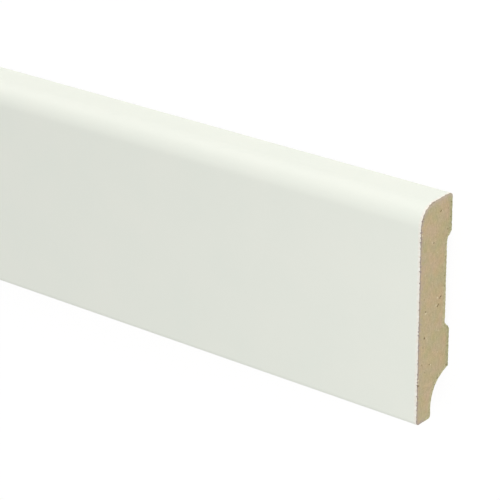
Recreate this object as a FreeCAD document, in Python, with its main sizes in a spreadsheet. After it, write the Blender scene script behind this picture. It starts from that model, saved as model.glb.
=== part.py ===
"""Skirting board length: a moulded board with a rounded head, a relieved back and a cable cove.

The board lies on the two lands of its back, with its face up. X runs along the length, +Y from the
foot to the head, and +Z out of the wall towards the room. The origin is on the floor, at the middle
of the length and of the height. Sizes are in millimetres and degrees.
"""
import FreeCAD, Part
import os
from math import radians, sqrt, tan

import Sketcher

# Driving dimensions: alias, value, what it measures
SIZES = [
    ("length", 2400, "one sold length, sawn square at both ends"),
    ("board_height", 70, "from the toe to the back edge of the top"),
    ("thickness", 15, "from the lands to the face"),
    ("top_fall", 4, "slope of the top down towards the room, degrees"),
    ("head_radius", 7, "rounding from the face into the top"),
    ("back_arris_radius", 1.4, "arris between the top and the upper land"),
    ("upper_land_height", 12.1, "from the top down to the relief"),
    ("lower_land_height", 12.4, "from the cable cove up to the relief"),
    ("relief_depth", 2.1, "how far the relief clears the wall"),
    ("shoulder_angle", 45, "slope of the relief's two shoulders, degrees"),
    ("relief_fillet_radius", 1.5, "fillet under the upper shoulder"),
    ("cove_radius", 11.5, "hollow of the cable cove"),
    ("cove_centre_height", 3.8, "centre of the hollow above the toe"),
    ("foot_width", 6.8, "from the face to the heel"),
    ("foot_undercut", 5, "slope of the foot up towards the wall, degrees"),
    ("toe_radius", 1.2, "arris between the foot and the face"),
    ("heel_radius", 0.5, "arris between the foot and the cable cove"),
]

# Roundings: feature, radius, corner of the section
ROUNDINGS = [
    ("HeadRound", "head_radius", "head"),
    ("BackArris", "back_arris_radius", "back_edge"),
    ("ReliefFillet", "relief_fillet_radius", "relief_top"),
    ("ToeArris", "toe_radius", "toe"),
    ("HeelArris", "heel_radius", "heel"),
]

# How near an edge lies to the corner that it is picked by
PICK_TOLERANCE = 0.01

# Ends of a line or arc, and the origin and horizontal axis, as a sketch numbers them
START, END, CENTRE = 1, 2, 3
ORIGIN = (-1, 1)
HORIZONTAL_AXIS = -1


def make_sheet(doc):
    """The spreadsheet that holds the driving dimensions."""
    sheet = doc.addObject("Spreadsheet::Sheet", "sizes")
    for row, (alias, value, meaning) in enumerate(SIZES, start=1):
        sheet.set(f"A{row}", meaning)
        sheet.set(f"B{row}", str(value))
        sheet.setAlias(f"B{row}", alias)
    doc.recompute()
    return sheet


def section_corners(sheet):
    """The section's corners before rounding, from the toe round by the head and the back."""
    top_drop = sheet.thickness * tan(radians(sheet.top_fall))
    heel_lift = sheet.foot_width * tan(radians(sheet.foot_undercut))
    shoulder_run = sheet.relief_depth / tan(radians(sheet.shoulder_angle))
    relief_floor = sheet.thickness - sheet.relief_depth
    hollow_depth = sheet.foot_width + sheet.cove_radius - sheet.thickness
    cove_top = sheet.cove_centre_height + sqrt(sheet.cove_radius**2 - hollow_depth**2)
    lower_land_top = cove_top + sheet.lower_land_height
    upper_land_end = sheet.board_height - sheet.upper_land_height

    # Each corner is a height above the toe and a depth behind the face
    corners = {
        "toe": (0, 0),
        "head": (sheet.board_height - top_drop, 0),
        "back_edge": (sheet.board_height, sheet.thickness),
        "upper_land_end": (upper_land_end, sheet.thickness),
        "relief_top": (upper_land_end - shoulder_run, relief_floor),
        "relief_bottom": (lower_land_top + shoulder_run, relief_floor),
        "lower_land_top": (lower_land_top, sheet.thickness),
        "cove_top": (cove_top, sheet.thickness),
        "cove_end": (sheet.cove_centre_height, sheet.foot_width),
        "heel": (heel_lift, sheet.foot_width),
    }
    return {name: section_point(sheet, *place) for name, place in corners.items()}


def section_point(sheet, height, depth):
    """A point in the sketch's own axes: up the board, and out of the wall."""
    return FreeCAD.Vector(height - sheet.board_height / 2, sheet.thickness - depth, 0)


def cove_arc(sheet, corners):
    """The hollow, from the lower land round to the foot."""
    depth = sheet.foot_width + sheet.cove_radius
    centre = section_point(sheet, sheet.cove_centre_height, depth)
    circle = Part.Circle(centre, FreeCAD.Vector(0, 0, 1), sheet.cove_radius)
    start = circle.parameter(corners["cove_top"])
    end = circle.parameter(corners["cove_end"])
    return Part.ArcOfCircle(circle, start, end)


def origin_plane(body, role):
    """One of the body's own origin planes."""
    return next(item for item in body.Origin.OriginFeatures if item.Role == role)


def draw_section(body, sheet):
    """The section as one closed outline, fully constrained and bound to the sheet."""
    sketch = body.newObject("Sketcher::SketchObject", "Section")
    sketch.AttachmentSupport = [(origin_plane(body, "YZ_Plane"), "")]
    sketch.MapMode = "FlatFace"

    corners = section_corners(sheet)
    names = list(corners)
    line = {}
    for name, following in zip(names, names[1:] + names[:1]):
        if name == "cove_top":
            line[name] = sketch.addGeometry(cove_arc(sheet, corners), False)
        else:
            segment = Part.LineSegment(corners[name], corners[following])
            line[name] = sketch.addGeometry(segment, False)

    # Each line is known by the corner that it starts from
    face, top = line["toe"], line["head"]
    upper_land, upper_shoulder = line["back_edge"], line["upper_land_end"]
    relief, lower_shoulder = line["relief_top"], line["relief_bottom"]
    lower_land, cove = line["lower_land_top"], line["cove_top"]
    heel, foot = line["cove_end"], line["heel"]

    outline = list(line.values())
    for edge, following in zip(outline, outline[1:] + outline[:1]):
        joint = "Tangent" if edge == cove else "Coincident"
        sketch.addConstraint(Sketcher.Constraint(joint, edge, END, following, START))
    for edge in (face, upper_land, relief, lower_land, heel):
        sketch.addConstraint(Sketcher.Constraint("Horizontal", edge))
    for edge in (upper_land, lower_land):
        sketch.addConstraint(Sketcher.Constraint("PointOnObject", edge, START, HORIZONTAL_AXIS))

    dimensions = [
        ("FaceToLands", ("DistanceY", *ORIGIN, face, START), "sizes.thickness"),
        ("ToeToMiddle", ("DistanceX", face, START, *ORIGIN), "sizes.board_height / 2"),
        ("BoardHeight", ("DistanceX", face, START, top, END), "sizes.board_height"),
        ("TopFall", ("Angle", top), "sizes.top_fall - 90"),
        ("UpperLand", ("DistanceX", upper_land, END, upper_land, START), "sizes.upper_land_height"),
        ("UpperShoulder", ("Angle", upper_shoulder), "180 - sizes.shoulder_angle"),
        ("ReliefDepth", ("DistanceY", *ORIGIN, relief, START), "sizes.relief_depth"),
        ("LowerShoulder", ("Angle", lower_shoulder), "sizes.shoulder_angle - 180"),
        ("LowerLand", ("DistanceX", lower_land, END, lower_land, START), "sizes.lower_land_height"),
        ("CoveRadius", ("Radius", cove), "sizes.cove_radius"),
        ("CoveHeight", ("DistanceX", face, START, cove, CENTRE), "sizes.cove_centre_height"),
        ("FootWidth", ("DistanceY", heel, END, face, START), "sizes.foot_width"),
        ("FootUndercut", ("Angle", foot), "90 + sizes.foot_undercut"),
    ]
    for name, (kind, *places), formula in dimensions:
        value = sketch.evalExpression(formula)
        datum = radians(value) if kind == "Angle" else value
        index = sketch.addConstraint(Sketcher.Constraint(kind, *places, datum))
        sketch.renameConstraint(index, name)
        sketch.setExpression(f"Constraints.{name}", formula)
    return sketch


def edge_along(shape, corner):
    """Name of the edge that runs the whole length through a corner of the section."""
    for number, edge in enumerate(shape.Edges, start=1):
        middle = FreeCAD.Vector(0, corner.x, corner.y)
        if (edge.CenterOfMass - middle).Length < PICK_TOLERANCE:
            return f"Edge{number}"
    raise RuntimeError(f"no edge runs through {corner}")


def make_board(doc, sheet):
    """The board: its section run along the length, then rounded corner by corner."""
    body = doc.addObject("PartDesign::Body", "skirting_board")
    body.Label = "skirting_board"
    sketch = draw_section(body, sheet)

    board = body.newObject("PartDesign::Pad", "Moulding")
    board.Profile = sketch
    board.SideType = "Symmetric"
    board.setExpression("Length", "sizes.length")
    doc.recompute()

    corners = section_corners(sheet)
    for name, radius, corner in ROUNDINGS:
        rounding = body.newObject("PartDesign::Fillet", name)
        rounding.Base = (board, [edge_along(board.Shape, corners[corner])])
        rounding.setExpression("Radius", f"sizes.{radius}")
        doc.recompute()
        board = rounding
    body.Placement = FreeCAD.Placement()
    return body


def check(doc, body):
    """Stops if any feature failed or the board isn't one sound solid."""
    for item in doc.Objects:
        if {"Invalid", "Error"} & set(item.State):
            raise RuntimeError(f"{item.Name} failed: {item.State}")
        if item.TypeId == "Sketcher::SketchObject" and not item.FullyConstrained:
            raise RuntimeError(f"{item.Name} isn't fully constrained")
    if body.Shape.isNull() or not body.Shape.isValid() or len(body.Shape.Solids) != 1:
        raise RuntimeError(f"{body.Label} isn't one sound solid")


doc = FreeCAD.newDocument("skirting_board_length")
sheet = make_sheet(doc)
board = make_board(doc, sheet)
doc.recompute()
check(doc, board)
os.makedirs("parts", exist_ok=True)
board.Shape.exportStep(f"parts/{board.Label}.step")
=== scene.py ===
"""Looks of a length of skirting board: raw MDF under a white foil, sawn square at both ends.

All sizes are in metres. X runs along the board, +Y from its foot to its rounded head, and +Z out of
the wall. The board lies on the two lands of its back, with its white face up. A point of the section
is a vector of two: the board's Y and then its Z.
"""

from math import atan2, ceil, cos, pi, radians, sin, sqrt, tan

import bpy
import numpy as np
from mathutils import Matrix, Vector, kdtree, noise
from mathutils.geometry import delaunay_2d_cdt


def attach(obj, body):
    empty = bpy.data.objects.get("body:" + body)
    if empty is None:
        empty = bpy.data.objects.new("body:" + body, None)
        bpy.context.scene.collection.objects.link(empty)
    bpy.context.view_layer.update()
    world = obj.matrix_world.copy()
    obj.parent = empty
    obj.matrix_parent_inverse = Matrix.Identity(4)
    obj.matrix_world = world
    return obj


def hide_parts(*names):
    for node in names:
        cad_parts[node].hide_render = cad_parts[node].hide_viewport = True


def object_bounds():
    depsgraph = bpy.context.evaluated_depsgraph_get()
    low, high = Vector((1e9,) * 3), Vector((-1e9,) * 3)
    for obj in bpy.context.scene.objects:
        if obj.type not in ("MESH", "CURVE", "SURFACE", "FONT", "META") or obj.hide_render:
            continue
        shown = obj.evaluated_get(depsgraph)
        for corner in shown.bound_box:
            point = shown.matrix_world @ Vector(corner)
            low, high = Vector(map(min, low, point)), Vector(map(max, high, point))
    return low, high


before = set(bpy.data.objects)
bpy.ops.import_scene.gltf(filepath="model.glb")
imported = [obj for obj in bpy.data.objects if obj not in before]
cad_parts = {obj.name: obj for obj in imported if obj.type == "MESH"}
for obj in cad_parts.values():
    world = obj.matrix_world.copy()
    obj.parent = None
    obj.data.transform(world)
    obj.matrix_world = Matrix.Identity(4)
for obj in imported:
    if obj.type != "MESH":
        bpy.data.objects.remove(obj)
cad_low, cad_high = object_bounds()

NODE = "skirting_board"
BODY = "root"
MM = 0.001

# The section, as it is moulded
BOARD_HEIGHT = 70 * MM
THICKNESS = cad_high.z
TOP_FALL = radians(4)
HEAD_RADIUS = 7 * MM
BACK_ARRIS_RADIUS = 1.4 * MM
UPPER_LAND_HEIGHT = 12.1 * MM
LOWER_LAND_HEIGHT = 12.4 * MM
RELIEF_DEPTH = 2.1 * MM
SHOULDER_ANGLE = radians(45)
RELIEF_FILLET_RADIUS = 1.5 * MM
COVE_RADIUS = 11.5 * MM
COVE_CENTRE_HEIGHT = 3.8 * MM
FOOT_WIDTH = 6.8 * MM
FOOT_UNDERCUT = radians(5)
TOE_RADIUS = 1.2 * MM
HEEL_RADIUS = 0.5 * MM

# The foil: its thickness, how far it goes under the foot, and its share of the back arris
FOIL_THICKNESS = 0.08 * MM
FOIL_LAP_UNDER_FOOT = 3 * MM
FOIL_LAP_OVER_ARRIS = 0.6

# Fineness of the meshes: a stretch of the outline may pass its steps by the slack before it gets one
# more. The bays along the board grow from its ends to its middle, and the first is longer than any
# wear of the ends is deep, so that no face folds back.
OUTLINE_STEP = 0.3 * MM
STEP_SLACK = 0.01
FIRST_BAY = 0.6 * MM
BAY_GROWTH = 1.6
LONGEST_BAY = 120 * MM
SHARP_ANGLE = radians(32)
AT_END = 0.001 * MM

# Points over a sawn end: the jitter and the gap to the edge are shares of the step, and the gap
# round a mark is a share of its radius
END_STEP = 0.36 * MM
END_JITTER = 0.2
END_JITTER_SEED = 7
END_EDGE_GAP = 0.6
MARK_GAP = 1.3
MARK_RING_SHARES = (0.5, 1.0)
MARK_RING_POINTS = 8
TRIANGLE_TOLERANCE = 1e-4

# Wear of the sawn ends, all of it inward
GRAIN_DEPTH = 0.05 * MM
GRAIN_SIZE = 0.7 * MM
SAW_MARK_DEPTH = 0.02 * MM
SAW_MARK_PITCH = 1.7 * MM
SAW_CENTRE = Vector((125 * MM, 31.25 * MM))
FRAYED_DEPTH = 0.12 * MM
FRAYED_WIDTH = 0.6 * MM
FRAYED_SIZE = 0.6 * MM
CHIP_DEPTH = 0.12 * MM
CHIP_REACH = 0.9 * MM
CHIP_SIZE = 0.8 * MM
BROKEN_SHARE = 0.45
TORN_DEPTH = 0.5 * MM
TORN_SIZE = 0.5 * MM
EASED_DEPTH = 0.04 * MM
EASED_REACH = 0.4 * MM
NEAR_END_SEED_STEP = 7.0

# Marks on the near end, listed one by one: height above the toe, depth behind the face and radius in
# millimetres, and tone, which is below 0 for a dark pit and above 0 for a pale torn fibre
MARKS = [
    (38.4, 10.6, 0.35, -0.9),
    (38.0, 10.1, 0.30, -0.8),
    (38.5, 8.9, 0.40, 0.6),
    (36.1, 9.5, 0.30, -0.9),
    (35.7, 9.2, 0.35, -0.7),
    (36.2, 8.3, 0.45, 0.6),
    (35.6, 3.4, 0.35, -0.6),
    (35.1, 3.4, 0.40, 0.8),
    (27.3, 3.1, 0.40, -1.0),
    (27.1, 4.0, 0.35, 0.5),
    (28.2, 8.6, 0.30, 0.5),
    (27.9, 9.6, 0.30, 0.6),
    (65.4, 9.6, 0.35, -0.8),
    (65.3, 10.2, 0.35, 0.5),
    (60.2, 0.9, 0.30, 0.9),
    (62.3, 14.4, 0.35, -0.5),
    (58.9, 13.0, 0.30, -0.5),
    (53.4, 12.6, 0.35, 0.6),
    (52.9, 8.4, 0.40, 0.4),
    (50.5, 12.3, 0.30, -0.5),
    (47.3, 2.7, 0.45, 0.4),
    (44.5, 12.2, 0.40, -0.6),
    (41.2, 12.2, 0.30, -0.5),
    (24.0, 14.4, 0.30, -0.5),
    (21.5, 14.4, 0.30, -0.5),
    (21.0, 9.6, 0.35, 0.4),
    (15.3, 14.2, 0.35, -0.6),
    (13.5, 11.2, 0.35, -0.5),
    (12.3, 10.0, 0.35, -0.6),
    (10.6, 8.6, 0.40, -0.6),
    (9.4, 7.8, 0.35, -0.5),
    (2.4, 6.2, 0.30, -0.4),
    (56.3, 6.6, 0.40, -0.5),
    (56.6, 5.8, 0.35, 0.5),
    (18.1, 5.8, 0.30, -0.6),
    (17.9, 6.4, 0.30, 0.8),
    (19.0, 2.0, 0.35, -0.5),
    (28.4, 0.5, 0.40, -0.5),
    (14.8, 0.5, 0.35, 0.9),
    (13.6, 0.4, 0.35, 0.8),
    (12.8, 0.7, 0.45, -0.6),
    (8.7, 0.5, 0.40, -0.6),
    (5.8, 0.4, 0.40, -0.5),
    (68.6, 4.7, 0.35, -0.5),
    (69.0, 6.1, 0.35, -0.5),
    (65.1, 1.4, 0.35, -0.5),
    (66.9, 14.5, 0.35, -0.5),
    (12.9, 9.9, 0.35, -0.5),
]
MARK_DEPTH = 0.45 * MM
MARK_RADIUS_SHARES = (0.6, 1.4)
MARK_UNEVENNESS = 0.3 * MM

# The bake map, from 0 to 1 across and up: the columns that each run of the outline takes, and where
# each sawn end starts
MAP_MARGIN = 0.01
HIDDEN_COLUMN = (0.01, 0.05)
BARE_COLUMN = (0.06, 0.50)
END_COLUMNS = {-1: 0.76, 1: 0.53}
END_MAP_SCALE = 0.96 / BOARD_HEIGHT
FOIL_COLUMN = (0.01, 0.88)
FOIL_INNER_COLUMN = (0.90, 0.95)
FOIL_LAP_COLUMNS = {"foot": (0.96, 0.9645), "head": (0.966, 0.9705)}
FOIL_END_COLUMNS = {-1: (0.972, 0.978), 1: (0.981, 0.987)}

# Camera: where the near end's toe falls in the 500 pixel image, and how it is seen. The sensor's
# width is in millimetres.
IMAGE_SIZE = 500
FOCAL_PIXELS = 2690.4
SENSOR = 36.0
CAMERA_AZIMUTH = radians(40.931)
CAMERA_ELEVATION = radians(21.185)
CAMERA_DISTANCE = 796.1 * MM
TOE_PIXEL = (416.1, 426.74)
CLIP_START = 0.05
CLIP_END = 200

# Light: a sun has a direction, a strength, a colour and a breadth in the sky, and a strength of 1
# lights a white surface that faces it to full white. The directions and the fill's place are from
# the near end's face.
SKY_STRENGTH = 0.675
SUNS = [
    ("key", (1.2, 0.98, 0.18), 0.301, (1.0, 1.0, 1.0), radians(40)),
    ("rim", (-0.7, 1.0, 0.05), 0.338, (1.0, 0.965, 0.93), radians(34)),
]
FILL_PLACE = (0.1, 0.0, 0.2)
FILL_SIZE = 150 * MM
FILL_POWER = 0.067
WHITE = (1, 1, 1, 1)
FLOOR_HALF_SIZE = 30.0
FLOOR_COLOUR = (0.85, 0.85, 0.85, 1)
BACKDROP_SHARE = 0.88
BACKDROP_STRENGTH = 1.06


def section_point(height, depth):
    """A point of the section from its height above the toe and its depth behind the face."""
    return Vector((height - BOARD_HEIGHT / 2, THICKNESS - depth))


def section_corners():
    """The section's corners before rounding, by name."""
    shoulder_run = RELIEF_DEPTH / tan(SHOULDER_ANGLE)
    relief_floor = THICKNESS - RELIEF_DEPTH
    hollow_depth = FOOT_WIDTH + COVE_RADIUS - THICKNESS
    cove_top = COVE_CENTRE_HEIGHT + sqrt(COVE_RADIUS**2 - hollow_depth**2)
    lower_land_top = cove_top + LOWER_LAND_HEIGHT
    upper_land_end = BOARD_HEIGHT - UPPER_LAND_HEIGHT
    places = {
        "toe": (0, 0),
        "head": (BOARD_HEIGHT - THICKNESS * tan(TOP_FALL), 0),
        "back_edge": (BOARD_HEIGHT, THICKNESS),
        "upper_land_end": (upper_land_end, THICKNESS),
        "relief_top": (upper_land_end - shoulder_run, relief_floor),
        "relief_bottom": (lower_land_top + shoulder_run, relief_floor),
        "lower_land_top": (lower_land_top, THICKNESS),
        "cove_top": (cove_top, THICKNESS),
        "cove_end": (COVE_CENTRE_HEIGHT, FOOT_WIDTH),
        "heel": (FOOT_WIDTH * tan(FOOT_UNDERCUT), FOOT_WIDTH),
    }
    return {name: section_point(*place) for name, place in places.items()}


def arc(centre, radius, start, turn):
    """Points along an arc, both ends included, no further apart than the outline's step."""
    count = max(2, ceil(abs(turn) * radius / OUTLINE_STEP))
    angles = [start + turn * i / count for i in range(count + 1)]
    return [centre + radius * Vector((cos(a), sin(a))) for a in angles]


def rounded(before, corner, after, radius):
    """The arc that rounds a corner between its two neighbours."""
    to_before = (before - corner).normalized()
    to_after = (after - corner).normalized()
    half = to_before.angle(to_after) / 2
    centre = corner + (to_before + to_after).normalized() * radius / sin(half)
    start = corner + to_before * radius / tan(half) - centre
    end = corner + to_after * radius / tan(half) - centre
    first = atan2(start.y, start.x)
    turn = (atan2(end.y, end.x) - first + pi) % (2 * pi) - pi
    return arc(centre, radius, first, turn)


def divided(points):
    """The points with more between them, so that none are further apart than the outline's step."""
    found = []
    for here, there in zip(points, points[1:]):
        count = max(1, ceil((there - here).length / OUTLINE_STEP - STEP_SLACK))
        found += [here.lerp(there, i / count) for i in range(count)]
    return found + [points[-1]]


def section_runs():
    """The outline in two runs: under the foil from the foot round to the head, then the bare back."""
    at = section_corners()
    foot_direction = (at["heel"] - at["toe"]).normalized()
    lap = at["toe"] + foot_direction * FOIL_LAP_UNDER_FOOT
    back_arris = rounded(at["head"], at["back_edge"], at["upper_land_end"], BACK_ARRIS_RADIUS)
    lapped = round(FOIL_LAP_OVER_ARRIS * (len(back_arris) - 1))
    covered = [
        lap,
        *rounded(at["heel"], at["toe"], at["head"], TOE_RADIUS),
        *rounded(at["toe"], at["head"], at["back_edge"], HEAD_RADIUS),
        *back_arris[:lapped + 1],
    ]
    hollow_centre = section_point(COVE_CENTRE_HEIGHT, FOOT_WIDTH + COVE_RADIUS)
    from_centre = at["cove_top"] - hollow_centre
    hollow_start = atan2(from_centre.y, from_centre.x)
    bare = [
        *back_arris[lapped:],
        at["upper_land_end"],
        *rounded(at["upper_land_end"], at["relief_top"], at["relief_bottom"], RELIEF_FILLET_RADIUS),
        at["relief_bottom"],
        at["lower_land_top"],
        *arc(hollow_centre, COVE_RADIUS, hollow_start, pi / 2 - hollow_start),
        *rounded(at["cove_end"], at["heel"], at["toe"], HEEL_RADIUS),
        lap,
    ]
    return divided(covered), divided(bare)


def inward_directions(points):
    """For each point of an open run, the direction into the board, square to the run."""
    found = []
    for i in range(len(points)):
        along = points[min(i + 1, len(points) - 1)] - points[max(i - 1, 0)]
        found.append(Vector((along.y, -along.x)).normalized())
    return found


def inset(points, distance):
    """An open run of points moved into the board."""
    return [point + inward * distance for point, inward in zip(points, inward_directions(points))]


def stations():
    """Places along the board, close together at the ends and far apart between them."""
    half = cad_high.x
    from_end = [0.0]
    bay = FIRST_BAY
    while bay < LONGEST_BAY:
        from_end.append(from_end[-1] + bay)
        bay *= BAY_GROWTH
    inner = half - from_end[-1]
    count = ceil(inner * 2 / LONGEST_BAY)
    left = [x - half for x in from_end]
    middle = [inner * 2 * i / count - inner for i in range(1, count)]
    right = [half - x for x in reversed(from_end)]
    return left + middle + right


def spread(low_high, share):
    """The value at a share of the way from the first of a pair to the second."""
    return low_high[0] + (low_high[1] - low_high[0]) * share


def ragged(x, point, size, seed):
    """Smooth noise from 0 to 1 at a point of the section, different at each end and seed."""
    start = seed + (NEAR_END_SEED_STEP if x > 0 else 0.0)
    place = Vector((start, point.x / size, point.y / size))
    return min(1.0, max(0.0, 0.5 + noise.noise(place)))


def broken(x, point, size, seed):
    """As ragged, but 0 over all but the share that broke away."""
    return max(0.0, ragged(x, point, size, seed) - 1 + BROKEN_SHARE) / BROKEN_SHARE


def saw_marks(point):
    """Height of the saw's faint scratches, curved round the blade's centre, from 0 to 1."""
    return 0.5 + 0.5 * sin(2 * pi * (point - SAW_CENTRE).length / SAW_MARK_PITCH)


def mark_places():
    """Centre, radius and tone of each mark on the near end."""
    return [(section_point(h * MM, d * MM), r * MM, tone) for h, d, r, tone in MARKS]


def end_tone(x, point, marks):
    """The strongest mark at a point of an end: below 0 in a pit and above 0 on a pale fibre."""
    uneven = spread(MARK_RADIUS_SHARES, ragged(x, point, MARK_UNEVENNESS, seed=5))
    tones = [0.0]
    for centre, radius, tone in marks:
        away = min(1.0, (point - centre).length / (radius * uneven))
        tones.append(tone * (1 - away**2))
    return max(tones, key=abs)


def end_recess(x, point, from_bare, tone):
    """How far the sawn surface lies inside the true end plane."""
    grain = GRAIN_DEPTH * ragged(x, point, GRAIN_SIZE, seed=1)
    scratches = SAW_MARK_DEPTH * saw_marks(point)
    frayed = FRAYED_DEPTH * broken(x, point, FRAYED_SIZE, seed=2) * max(0.0, 1 - from_bare / FRAYED_WIDTH)
    pit = MARK_DEPTH * max(0.0, -tone)
    return grain + scratches + max(frayed, pit)


def torn(x, point):
    """How far the foil's cut edge is torn back where it broke."""
    return TORN_DEPTH * broken(x, point, TORN_SIZE, seed=4)


def chipped(x, point, inward):
    """A point of the bare outline, moved in where fibres broke away beside the saw cut."""
    from_end = cad_high.x - abs(x)
    chip = broken(x, point, CHIP_SIZE, seed=3) * max(0.0, 1 - from_end / CHIP_REACH)
    return point + inward * CHIP_DEPTH * chip


def eased(x, point, inward):
    """A point under or on the foil, moved in where the cut edge is eased."""
    from_end = cad_high.x - abs(x)
    return point + inward * EASED_DEPTH * max(0.0, 1 - from_end / EASED_REACH) ** 2


def nearness(points):
    """A function that gives how far a place is from the nearest of the points."""
    tree = kdtree.KDTree(len(points))
    for i, point in enumerate(points):
        tree.insert(point.to_3d(), i)
    tree.balance()
    return lambda place: tree.find(place.to_3d())[2]


def inside(points, loop):
    """Which of the points are within a closed outline."""
    points = np.array(points)
    found = np.zeros(len(points), bool)
    for a, b in zip(loop, loop[1:] + loop[:1]):
        if a.y == b.y:
            continue
        level = (a.y > points[:, 1]) != (b.y > points[:, 1])
        found ^= level & (points[:, 0] < a.x + (b.x - a.x) * (points[:, 1] - a.y) / (b.y - a.y))
    return found


def end_points(loop, marks):
    """Points spread over the section inside its outline, closer together on the marks."""
    found = []
    for centre, radius, tone in marks:
        found.append(centre)
        for share in MARK_RING_SHARES:
            angles = np.linspace(0, 2 * pi, MARK_RING_POINTS, endpoint=False)
            found += [centre + radius * share * Vector((cos(a), sin(a))) for a in angles]
    draw = np.random.default_rng(END_JITTER_SEED)
    rows = np.arange(0, THICKNESS, END_STEP * sqrt(3) / 2)
    columns = np.arange(-BOARD_HEIGHT / 2, BOARD_HEIGHT / 2, END_STEP)
    for i, z in enumerate(rows):
        for y in columns + (i % 2) * END_STEP / 2:
            point = Vector((y, z)) + Vector(draw.uniform(-END_JITTER, END_JITTER, 2) * END_STEP)
            if all((point - centre).length > radius * MARK_GAP for centre, radius, tone in marks):
                found.append(point)
    to_edge = nearness(loop)
    edge_gap = END_EDGE_GAP * END_STEP
    return [p for p, within in zip(found, inside(found, loop)) if within and to_edge(p) > edge_gap]


def triangles(loop, inner):
    """Triangles over the section, as numbers into the outline's points and then the inner ones."""
    count = len(loop)
    edges = [(i, (i + 1) % count) for i in range(count)]
    made = delaunay_2d_cdt([point / MM for point in loop + inner], edges, [], 1, TRIANGLE_TOLERANCE)
    faces, vertex_origins = made[2], made[3]
    return [[vertex_origins[v][0] for v in face] for face in faces]


class MeshParts:
    """One piece's vertices with their values, and its faces with their places on the bake map."""

    def __init__(self):
        self.vertices = []
        self.values = []
        self.faces = []
        self.map_places = []

    def add_vertex(self, x, point, **values):
        """Adds a point of the section at a place along the board, and gives its number."""
        self.vertices.append((x, point.x, point.y))
        self.values.append(values)
        return len(self.vertices) - 1

    def add_face(self, corners, places):
        self.faces.append(corners)
        self.map_places += places

    def add_sides(self, places_along, columns):
        """Faces from each loop of vertices to the next, one for each of the map's columns."""
        count = len(columns)
        for k in range(len(places_along) - 1):
            low, high = along_map(places_along[k]), along_map(places_along[k + 1])
            for i, (left, right) in enumerate(columns):
                here, there = k * count + i, k * count + (i + 1) % count
                corners = (here, here + count, there + count, there)
                self.add_face(corners, [(left, low), (left, high), (right, high), (right, low)])

    def make_object(self, name):
        mesh = bpy.data.meshes.new(name)
        mesh.from_pydata(self.vertices, [], self.faces)
        layer = mesh.uv_layers.new(name="OFBake")
        layer.uv.foreach_set("vector", np.array(self.map_places, np.float32).ravel())
        for value_name in self.values[0]:
            attribute = mesh.attributes.new(value_name, "FLOAT", "POINT")
            values = [vertex_values[value_name] for vertex_values in self.values]
            attribute.data.foreach_set("value", np.array(values, np.float32))
        mesh.polygons.foreach_set("use_smooth", [True] * len(mesh.polygons))
        mesh.set_sharp_from_angle(angle=SHARP_ANGLE)
        mesh.update()
        piece = bpy.data.objects.new(name, mesh)
        bpy.context.scene.collection.objects.link(piece)
        return piece


def strips(column, count):
    """A column of the map, cut into equal strips."""
    return [(spread(column, i / count), spread(column, (i + 1) / count)) for i in range(count)]


def along_map(x):
    """Place up the map of a place along the board."""
    return spread((MAP_MARGIN, 1 - MAP_MARGIN), (x - cad_low.x) / (cad_high.x - cad_low.x))


def end_map_place(side, point):
    """Place on the map of a point of a sawn end, at the same scale both ways."""
    across = END_COLUMNS[side] + point.y * END_MAP_SCALE
    return across, MAP_MARGIN + (point.x + BOARD_HEIGHT / 2) * END_MAP_SCALE


def make_core(covered, bare):
    """The MDF: its long sides and its two sawn ends."""
    hidden = inset(covered, FOIL_THICKNESS)
    count = len(hidden + bare)
    inward = inward_directions(hidden + bare)
    from_foil = nearness(hidden)
    from_bare = nearness(bare)
    marks = {-1: [], 1: mark_places()}
    parts = MeshParts()

    def add_vertex(x, point):
        """Adds a vertex with the values that its colour follows, with distances in millimetres."""
        from_end = cad_high.x - abs(x)
        if from_end > AT_END:
            recess, tone, machined = 0.0, 0.0, 1.0
            foil_distance = max(from_end, from_foil(point))
            bare_distance = from_end
        else:
            foil_distance = from_foil(point)
            bare_distance = from_bare(point)
            side = 1 if x > 0 else -1
            tone = end_tone(x, point, marks[side])
            recess = end_recess(x, point, bare_distance, tone)
            machined = 0.0
            x -= side * recess
        return parts.add_vertex(
            x,
            point,
            recess=recess / MM,
            from_foil=foil_distance / MM,
            from_bare=bare_distance / MM,
            tone=tone,
            machined=machined,
        )

    places_along = stations()
    loops = []
    for x in places_along:
        loop = [eased(x, *pair) for pair in zip(hidden, inward)]
        loop += [chipped(x, *pair) for pair in zip(bare, inward[len(hidden):])]
        for point in loop:
            add_vertex(x, point)
        loops.append(loop)
    parts.add_sides(places_along, strips(HIDDEN_COLUMN, len(hidden)) + strips(BARE_COLUMN, len(bare)))

    last = (len(loops) - 1) * count
    for side, loop, first in ((-1, loops[0], 0), (1, loops[-1], last)):
        inner = end_points(loop, marks[side])
        points = loop + inner
        numbers = [first + i for i in range(count)]
        numbers += [add_vertex(side * cad_high.x, point) for point in inner]
        for corners in triangles(loop, inner):
            if side < 0:
                corners.reverse()
            places = [end_map_place(side, points[i]) for i in corners]
            parts.add_face([numbers[i] for i in corners], places)
    return parts.make_object("mdf_core")


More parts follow.
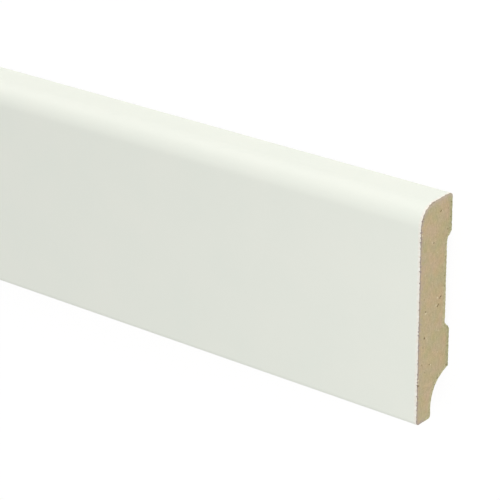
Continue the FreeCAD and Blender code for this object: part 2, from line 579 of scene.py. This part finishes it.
def make_foil(covered):
    """The white foil over the face, head and toe, as a thin closed skin."""
    inward = inward_directions(covered)
    outline = covered + inset(covered, FOIL_THICKNESS)[::-1]
    count = len(outline)
    strip_count = len(covered) - 1
    parts = MeshParts()
    places_along = stations()
    for x in places_along:
        at_end = cad_high.x - abs(x) < AT_END
        side = 1 if x > 0 else -1
        for point, direction in zip(outline, inward + inward[::-1]):
            recess = torn(x, point) if at_end else 0.0
            parts.add_vertex(x - side * recess, eased(x, point, direction))
    columns = [
        *strips(FOIL_COLUMN, strip_count),
        FOIL_LAP_COLUMNS["head"],
        *strips(FOIL_INNER_COLUMN, strip_count),
        FOIL_LAP_COLUMNS["foot"],
    ]
    parts.add_sides(places_along, columns)

    last = (len(places_along) - 1) * count
    for side, first in ((-1, 0), (1, last)):
        left, right = FOIL_END_COLUMNS[side]
        rows = strips((MAP_MARGIN, 1 - MAP_MARGIN), strip_count)
        for i, (low, high) in enumerate(rows):
            corners = [i, count - 1 - i, count - 2 - i, i + 1]
            places = [(left, low), (right, low), (right, high), (left, high)]
            if side < 0:
                corners.reverse()
                places.reverse()
            parts.add_face([first + corner for corner in corners], places)
    return parts.make_object("white_foil")


class Nodes:
    """Adds nodes to a material's or a world's shader and links them."""

    def __init__(self, owner):
        owner.use_nodes = True
        self.tree = owner.node_tree

    def put(self, node, inputs):
        """Links or sets some of a node's inputs, each given by its name or number."""
        for key, value in inputs.items():
            if isinstance(value, bpy.types.NodeSocket):
                self.tree.links.new(value, node.inputs[key])
            else:
                node.inputs[key].default_value = value

    def add(self, kind, inputs=None, **settings):
        made = self.tree.nodes.new(kind)
        for name, value in settings.items():
            setattr(made, name, value)
        self.put(made, inputs or {})
        return made

    def coordinates(self, stretch=(1, 1, 1)):
        """The object's own coordinates, in metres, stretched along its axes."""
        plain = self.add("ShaderNodeTexCoord").outputs["Object"]
        return self.add("ShaderNodeMapping", {"Vector": plain, "Scale": stretch}).outputs["Vector"]

    def separate(self, vector):
        """A vector's three parts, by name."""
        return self.add("ShaderNodeSeparateXYZ", {"Vector": vector}).outputs

    def noise(self, size, detail=2.0, stretch=(1, 1, 1)):
        """Noise of the given grain size."""
        inputs = {"Vector": self.coordinates(stretch), "Scale": 1 / size, "Detail": detail}
        return self.add("ShaderNodeTexNoise", inputs).outputs["Fac"]

    def patches(self, size, detail=2.0, stretch=(1, 1, 1), half_width=0.2):
        """Noise whose middle part, within the half width, is spread over 0 to 1."""
        return self.remap(self.noise(size, detail, stretch), 0.5 - half_width, 0.5 + half_width)

    def vertex_value(self, name):
        """A value that the mesh holds for each vertex."""
        return self.add("ShaderNodeAttribute", attribute_name=name).outputs["Fac"]

    def remap(self, value, low, high, to_low=0.0, to_high=1.0):
        """A value from low to high, turned into one between the other two and held there."""
        inputs = {"Value": value, "From Min": low, "From Max": high, "To Min": to_low, "To Max": to_high}
        return self.add("ShaderNodeMapRange", inputs).outputs["Result"]

    def math(self, operation, first, second=0.0):
        return self.add("ShaderNodeMath", {0: first, 1: second}, operation=operation).outputs[0]

    def mix(self, share, first, second, blend="MIX"):
        """A share of the second colour laid over the first."""
        made = self.add("ShaderNodeMix", data_type="RGBA", blend_type=blend)
        number = {socket.identifier: i for i, socket in enumerate(made.inputs)}
        self.put(made, {number["Factor_Float"]: share, number["A_Color"]: first, number["B_Color"]: second})
        return next(socket for socket in made.outputs if socket.identifier == "Result_Color")

    def bump(self, height, distance):
        """The surface's normal, tilted by a height from 0 to 1 that stands for a distance."""
        return self.add("ShaderNodeBump", {"Height": height, "Distance": distance}).outputs["Normal"]

    def seen_directly(self):
        """1 for a ray that shows a thing to the camera, plainly, in a reflection or through glass."""
        ray = self.add("ShaderNodeLightPath").outputs
        seen = self.math("MAXIMUM", ray["Is Camera Ray"], ray["Is Glossy Ray"])
        return self.math("MAXIMUM", seen, ray["Is Transmission Ray"])


def srgb(red, green, blue):
    """A colour written as it looks, from 0 to 255, as the shader wants it."""
    shares = [c / 255 for c in (red, green, blue)]
    return (*(s / 12.92 if s <= 0.04045 else ((s + 0.055) / 1.055) ** 2.4 for s in shares), 1.0)


# Colours of the MDF, and the shades that multiply them
MDF_WARM = srgb(224, 201, 168)
MDF_OLIVE = srgb(213, 201, 163)
MDF_SPECK = srgb(160, 142, 110)
SKIN_DARK = srgb(160, 154, 111)
SKIN_PALE = srgb(218, 215, 173)
DENSE_SHADE = srgb(240, 244, 241)
MDF_TORN = srgb(232, 222, 190)
MDF_PIT_AND_SHADE = srgb(122, 106, 76)
STREAK_DARK = srgb(193, 175, 141)
STREAK_PALE = srgb(202, 184, 149)
YELLOW_SHADE = srgb(255, 255, 245)
LAYER_SHADE = srgb(236, 236, 234)
FIBRE_SHADE = srgb(236, 235, 232)
HAIR_SHADE = srgb(234, 232, 226)
MDF_ROUGHNESS = (0.86, 0.94)

# Grain sizes of the MDF's patterns, how the coordinates of some are stretched, which makes the
# grain finer or longer along an axis, and how high the fibre stands
MOTTLE_SIZE = 6 * MM
YELLOW_SIZE = 3.5 * MM
LAYER_SIZE = 1.6 * MM
LAYER_STRETCH = (1, 1, 2.5)
FIBRE_SIZE = 0.4 * MM
HAIR_SIZE = 0.16 * MM
HAIR_STRETCH = (1, 0.5, 2)
STREAK_SIZE = 0.8 * MM
STREAK_STRETCH = (0.02, 1, 1)
FLECK_SIZE = 0.7 * MM
FIBRE_BUMP = 0.03 * MM

# Specks lie one to a cell, fade out between two shares of the cell's size, and show only in the
# cells whose random value is past a pair
SPECK_CELL = 2.6 * MM
SPECK_EDGE = (0.05, 0.12)
SPECK_CHOICE = (0.55, 0.60)

# Shares of the streaked colour on the machined sides and of the skin beside them on the ends. The
# skin fades out between two distances from those sides, in millimetres. The denser shade at the
# lands fades out between two heights above them.
MACHINED_SHARE = 0.75
SKIN_SHARE = 0.85
SKIN_FADE = (0.3, 1.8)
DENSE_HEIGHTS = (0.6 * MM, 2.0 * MM)

# Marks: the tones between which a torn fibre turns pale, and the recesses, in millimetres, between
# which a pit or a frayed edge turns dark, partly darker fibre and partly painted shade in the recess
TORN_TONES = (0.1, 0.7)
PIT_SHADE_RECESSES = (0.09, 0.28)

# How the MDF's colour changes towards the glue under the foil. A band has the two distances from
# the foil, in millimetres, between which it fades out, its share along the face, its share round
# the head, and its colour. The first share turns into the second between two places of Y. Every
# distance is first multiplied by a factor from a pair, so that the bands are of uneven width.
GLUE_BANDS = [
    (0.0, 2.4, 0.35, 0.35, srgb(190, 173, 160)),
    (0.4, 1.4, 0.0, 0.65, srgb(205, 190, 173)),
    (0.3, 1.1, 0.8, 0.0, srgb(184, 168, 156)),
    (0.1, 0.5, 0.95, 0.25, srgb(150, 134, 128)),
]
FACE_TO_HEAD = (30 * MM, 32.5 * MM)
GLUE_FACTORS = (0.45, 1.9)

# Colours of the foil: its face, where the saw stressed and flaked it with a painted highlight, and its cut
# edge
FOIL_COOL = srgb(241, 245, 235)
FOIL_PALE = srgb(243, 246, 236)
FOIL_STRESSED_HIGHLIGHT = srgb(243, 236, 222)
FOIL_FLAKED_HIGHLIGHT = srgb(255, 254, 246)
FOIL_CUT = srgb(186, 170, 146)
FOIL_ROUGHNESS = (0.50, 0.58)

# Where along the board the foil turns to stressed, with a painted highlight along the cut, how far
# its surface has to face the end to be its cut edge, and the sizes of its clouds, flakes and pores
STRESSED_HIGHLIGHT_PLACES = (cad_high.x - 1.2 * MM, cad_high.x - 0.4 * MM)
CUT_FACING = (0.5, 0.8)
CLOUD_SIZE = 18 * MM
FLAKE_SIZE = 0.7 * MM
PORE_SIZE = 0.6 * MM
PORE_HEIGHTS = (0.3, 0.7)
PORE_BUMP = 0.004 * MM


def mdf_material():
    """Raw MDF: pressed fibre, pits darkened partly with painted shade, denser skin and a glue line on the
    ends, and streaked sides.
    """
    material = bpy.data.materials.new("raw_mdf")
    nodes = Nodes(material)

    # Mottling, layers, fibre and specks
    mottle = nodes.patches(MOTTLE_SIZE, detail=1.0, half_width=0.15)
    colour = nodes.mix(mottle, MDF_WARM, MDF_OLIVE)
    yellow = nodes.patches(YELLOW_SIZE, detail=1.0, half_width=0.15)
    colour = nodes.mix(yellow, colour, YELLOW_SHADE, "MULTIPLY")
    layers = nodes.patches(LAYER_SIZE, detail=3.0, stretch=LAYER_STRETCH)
    colour = nodes.mix(layers, colour, LAYER_SHADE, "MULTIPLY")
    fibre = nodes.patches(FIBRE_SIZE, detail=4.0)
    hair = nodes.patches(HAIR_SIZE, detail=3.0, stretch=HAIR_STRETCH)
    for height, shade in ((fibre, FIBRE_SHADE), (hair, HAIR_SHADE)):
        colour = nodes.mix(nodes.math("SUBTRACT", 1.0, height), colour, shade, "MULTIPLY")
    cells = nodes.add("ShaderNodeTexVoronoi", {"Vector": nodes.coordinates(), "Scale": 1 / SPECK_CELL})
    speck = nodes.remap(cells.outputs["Distance"], *SPECK_EDGE, 1.0, 0.0)
    chosen = nodes.remap(cells.outputs["Color"], *SPECK_CHOICE)
    colour = nodes.mix(nodes.math("MULTIPLY", speck, chosen), colour, MDF_SPECK)

    # The machined sides, and the flecked skin beside them on the ends, which is denser at the lands
    streak = nodes.patches(STREAK_SIZE, detail=3.0, stretch=STREAK_STRETCH)
    machined = nodes.math("MULTIPLY", nodes.vertex_value("machined"), MACHINED_SHARE)
    colour = nodes.mix(machined, colour, nodes.mix(streak, STREAK_DARK, STREAK_PALE))
    place = nodes.separate(nodes.coordinates())
    flecks = nodes.patches(FLECK_SIZE)
    skin = nodes.remap(nodes.vertex_value("from_bare"), *SKIN_FADE, SKIN_SHARE, 0.0)
    colour = nodes.mix(skin, colour, nodes.mix(flecks, SKIN_DARK, SKIN_PALE))
    dense = nodes.remap(place["Z"], *DENSE_HEIGHTS, 1.0, 0.0)
    colour = nodes.mix(dense, colour, DENSE_SHADE, "MULTIPLY")

    # The glue line, of uneven width, and the marks, whose dark pits are partly painted shade
    factor = nodes.remap(flecks, 0.0, 1.0, *GLUE_FACTORS)
    from_foil = nodes.math("MULTIPLY", nodes.vertex_value("from_foil"), factor)
    for begin, end, on_face, on_head, band_colour in GLUE_BANDS:
        greatest = nodes.remap(place["Y"], *FACE_TO_HEAD, on_face, on_head)
        near_foil = nodes.remap(from_foil, begin, end, 1.0, 0.0)
        colour = nodes.mix(nodes.math("MULTIPLY", greatest, near_foil), colour, band_colour)
    colour = nodes.mix(nodes.remap(nodes.vertex_value("tone"), *TORN_TONES), colour, MDF_TORN)
    # Deep recesses of pits and frayed edges turn dark: partly darker fibre, partly painted shade in the
    # recess
    colour = nodes.mix(nodes.remap(nodes.vertex_value("recess"), *PIT_SHADE_RECESSES), colour, MDF_PIT_AND_SHADE)

    surface = {
        "Base Color": colour,
        "Roughness": nodes.remap(fibre, 0.0, 1.0, *MDF_ROUGHNESS),
        "Normal": nodes.bump(nodes.math("ADD", fibre, hair), FIBRE_BUMP),
    }
    nodes.put(nodes.tree.nodes["Principled BSDF"], surface)
    return material


def foil_material():
    """Satin white foil: faintly cloudy and pored, flaked and paler beside the saw cut, partly as a painted
    highlight, brown on its cut edge.
    """
    material = bpy.data.materials.new("satin_white_foil")
    nodes = Nodes(material)
    colour = nodes.mix(nodes.patches(CLOUD_SIZE), FOIL_COOL, FOIL_PALE)
    from_middle = nodes.math("ABSOLUTE", nodes.separate(nodes.coordinates())["X"])
    # Beside the saw cut the foil is paler: stressed and flaked, and partly a painted highlight along the
    # cut edge
    stressed_highlight = nodes.remap(from_middle, *STRESSED_HIGHLIGHT_PLACES)
    flakes = nodes.patches(FLAKE_SIZE)
    colour = nodes.mix(stressed_highlight, colour, nodes.mix(flakes, FOIL_STRESSED_HIGHLIGHT, FOIL_FLAKED_HIGHLIGHT))
    normal = nodes.add("ShaderNodeTexCoord").outputs["Normal"]
    facing_end = nodes.math("ABSOLUTE", nodes.separate(normal)["X"])
    colour = nodes.mix(nodes.remap(facing_end, *CUT_FACING), colour, FOIL_CUT)
    pores = nodes.noise(PORE_SIZE)
    surface = {
        "Base Color": colour,
        "Roughness": nodes.remap(pores, *PORE_HEIGHTS, *FOIL_ROUGHNESS),
        "Normal": nodes.bump(pores, PORE_BUMP),
    }
    nodes.put(nodes.tree.nodes["Principled BSDF"], surface)
    return material


def floor_material():
    """Pale and matt, and nearly white where it is seen, so that it keeps only a soft shadow."""
    material = bpy.data.materials.new("pale_floor")
    nodes = Nodes(material)
    pale = nodes.tree.nodes["Principled BSDF"]
    nodes.put(pale, {"Base Color": FLOOR_COLOUR, "Roughness": 1.0, "Specular IOR Level": 0.0})
    white = nodes.add("ShaderNodeEmission", {"Color": WHITE, "Strength": BACKDROP_STRENGTH})
    share = nodes.math("MULTIPLY", nodes.seen_directly(), BACKDROP_SHARE)
    shaders = {0: share, 1: pale.outputs["BSDF"], 2: white.outputs["Emission"]}
    mixed = nodes.add("ShaderNodeMixShader", shaders)
    nodes.put(nodes.tree.nodes["Material Output"], {"Surface": mixed.outputs["Shader"]})
    return material


def make_floor():
    """A plain floor that reaches past every view."""
    half = FLOOR_HALF_SIZE
    mesh = bpy.data.meshes.new("floor")
    corners = [(-half, -half, 0), (half, -half, 0), (half, half, 0), (-half, half, 0)]
    mesh.from_pydata(corners, [], [(0, 1, 2, 3)])
    mesh.materials.append(floor_material())
    floor = bpy.data.objects.new("floor", mesh)
    bpy.context.scene.collection.objects.link(floor)


def make_sky():
    """An even pale sky, white where it is seen."""
    world = bpy.data.worlds.new("studio")
    bpy.context.scene.world = world
    nodes = Nodes(world)
    lit = nodes.tree.nodes["Background"]
    nodes.put(lit, {"Color": WHITE, "Strength": SKY_STRENGTH})
    white = nodes.add("ShaderNodeBackground", {"Color": WHITE, "Strength": 1.0})
    skies = {0: nodes.seen_directly(), 1: lit.outputs["Background"], 2: white.outputs["Background"]}
    mixed = nodes.add("ShaderNodeMixShader", skies)
    nodes.put(nodes.tree.nodes["World Output"], {"Surface": mixed.outputs["Shader"]})


def make_lamp(name, kind, location, target, **settings):
    """A lamp that points from its location to its target."""
    data = bpy.data.lights.new(name, kind)
    for key, value in settings.items():
        setattr(data, key, value)
    lamp = bpy.data.objects.new(name, data)
    bpy.context.scene.collection.objects.link(lamp)
    lamp.location = location
    lamp.rotation_mode = "QUATERNION"
    lamp.rotation_quaternion = (target - location).to_track_quat("-Z", "Y")


def make_lights():
    """Two broad soft suns on the head's side, and a small fill above the near end."""
    near_end = Vector((cad_high.x, 0, THICKNESS))
    for name, direction, strength, colour, breadth in SUNS:
        place = near_end + Vector(direction)
        make_lamp(name, "SUN", place, near_end, energy=strength * pi, color=colour, angle=breadth)
    place = near_end + Vector(FILL_PLACE)
    make_lamp("fill", "AREA", place, near_end, energy=FILL_POWER, size=FILL_SIZE)


def make_camera():
    """The camera, set so that the near end's toe falls on its pixel of the image."""
    azimuth, elevation = CAMERA_AZIMUTH, CAMERA_ELEVATION
    back = Vector((sin(azimuth) * cos(elevation), sin(elevation), cos(azimuth) * cos(elevation)))
    right = Vector((cos(azimuth), 0, -sin(azimuth)))
    up = back.cross(right)
    toe = Vector((cad_high.x, -BOARD_HEIGHT / 2, THICKNESS))
    pixel_size = CAMERA_DISTANCE / FOCAL_PIXELS
    across = (TOE_PIXEL[0] - IMAGE_SIZE / 2) * pixel_size
    above = (IMAGE_SIZE / 2 - TOE_PIXEL[1]) * pixel_size
    data = bpy.data.cameras.new("camera")
    data.sensor_width = SENSOR
    data.lens = FOCAL_PIXELS / IMAGE_SIZE * SENSOR
    data.clip_start = CLIP_START
    data.clip_end = CLIP_END
    camera = bpy.data.objects.new("camera", data)
    bpy.context.scene.collection.objects.link(camera)
    turned = Matrix((right, up, back)).transposed().to_4x4()
    place = toe - across * right - above * up + CAMERA_DISTANCE * back
    camera.matrix_world = Matrix.Translation(place) @ turned
    bpy.context.scene.camera = camera


def finish_piece(piece, material):
    """Gives a piece its material and its place in the frame."""
    piece.data.materials.append(material)
    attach(piece, BODY)
    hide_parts(NODE)


covered_run, bare_run = section_runs()
finish_piece(make_core(covered_run, bare_run), mdf_material())
finish_piece(make_foil(covered_run), foil_material())
make_floor()
make_sky()
make_lights()
make_camera()
bpy.context.scene.view_settings.view_transform = "Standard"
